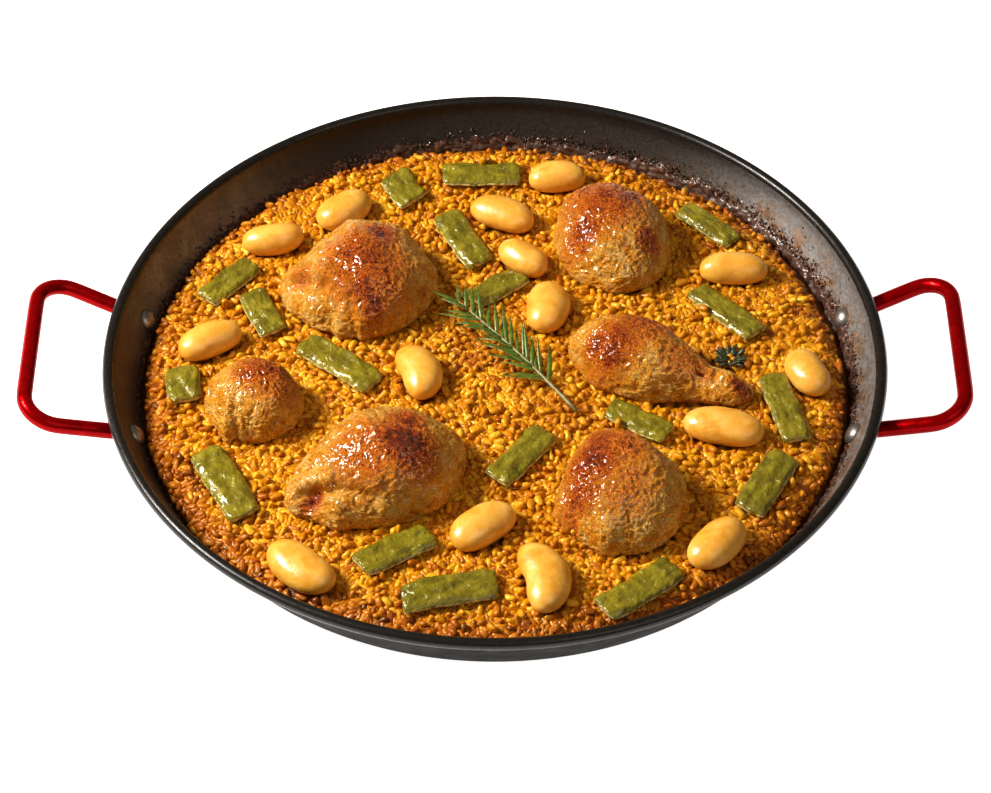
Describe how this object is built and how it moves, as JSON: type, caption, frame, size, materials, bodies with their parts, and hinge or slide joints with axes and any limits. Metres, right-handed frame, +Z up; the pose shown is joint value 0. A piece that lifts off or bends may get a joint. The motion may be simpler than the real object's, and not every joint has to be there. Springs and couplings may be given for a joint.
{
  "type": "paella",
  "caption": "Rice dish in its own shallow round two-handled steel pan, topped with roast chicken, butter beans, flat green beans and rosemary.",
  "frame": {"origin": "on the ground under the middle of the pan", "axes": "+X through the right handle, +Z up, +Y away from the front of the dish"},
  "size_m": [0.482, 0.4, 0.0643],
  "materials": {
    "pan_steel": "seasoned blue-black carbon steel, satin, burnt crust above the rice",
    "red_enamel": "glossy red enamel",
    "rivet_steel": "dull domed steel",
    "rice": "cooked saffron rice, oily, toasted towards the edge",
    "roast_chicken": "roast skin, golden to dark brown, wrinkled and oily",
    "butter_bean": "smooth glossy cooked bean skin",
    "green_bean": "cooked flat pod, blistered and oily",
    "herb": "roast herb leaves, dark green"
  },
  "bodies": {
    "root": {"butter_bean_01": "butter_bean", "butter_bean_02": "butter_bean", "butter_bean_03": "butter_bean", "butter_bean_04": "butter_bean", "butter_bean_05": "butter_bean", "butter_bean_06": "butter_bean", "butter_bean_07": "butter_bean", "butter_bean_08": "butter_bean", "butter_bean_09": "butter_bean", "butter_bean_10": "butter_bean", "butter_bean_11": "butter_bean", "butter_bean_12": "butter_bean", "butter_bean_13": "butter_bean", "butter_bean_14": "butter_bean", "butter_bean_15": "butter_bean", "chicken_drumstick": "roast_chicken", "chicken_small_piece": "roast_chicken", "chicken_thigh_back_left": "roast_chicken", "chicken_thigh_back_right": "roast_chicken", "chicken_thigh_front_left": "roast_chicken", "chicken_thigh_front_right": "roast_chicken", "green_bean_01": "green_bean", "green_bean_02": "green_bean", "green_bean_03": "green_bean", "green_bean_04": "green_bean", "green_bean_05": "green_bean", "green_bean_06": "green_bean", "green_bean_07": "green_bean", "green_bean_08": "green_bean", "green_bean_09": "green_bean", "green_bean_10": "green_bean", "green_bean_11": "green_bean", "green_bean_12": "green_bean", "green_bean_13": "green_bean", "green_bean_14": "green_bean", "green_bean_15": "green_bean", "green_bean_16": "green_bean", "green_bean_17": "green_bean", "green_bean_18": "green_bean", "handle_left": "red_enamel", "handle_right": "red_enamel", "herb_tuft": "herb", "pan": "pan_steel", "rice": "rice", "rivet_left_back": "rivet_steel", "rivet_left_front": "rivet_steel", "rivet_right_back": "rivet_steel", "rivet_right_front": "rivet_steel", "rosemary_sprig": "herb"}
  },
  "joints": []
}
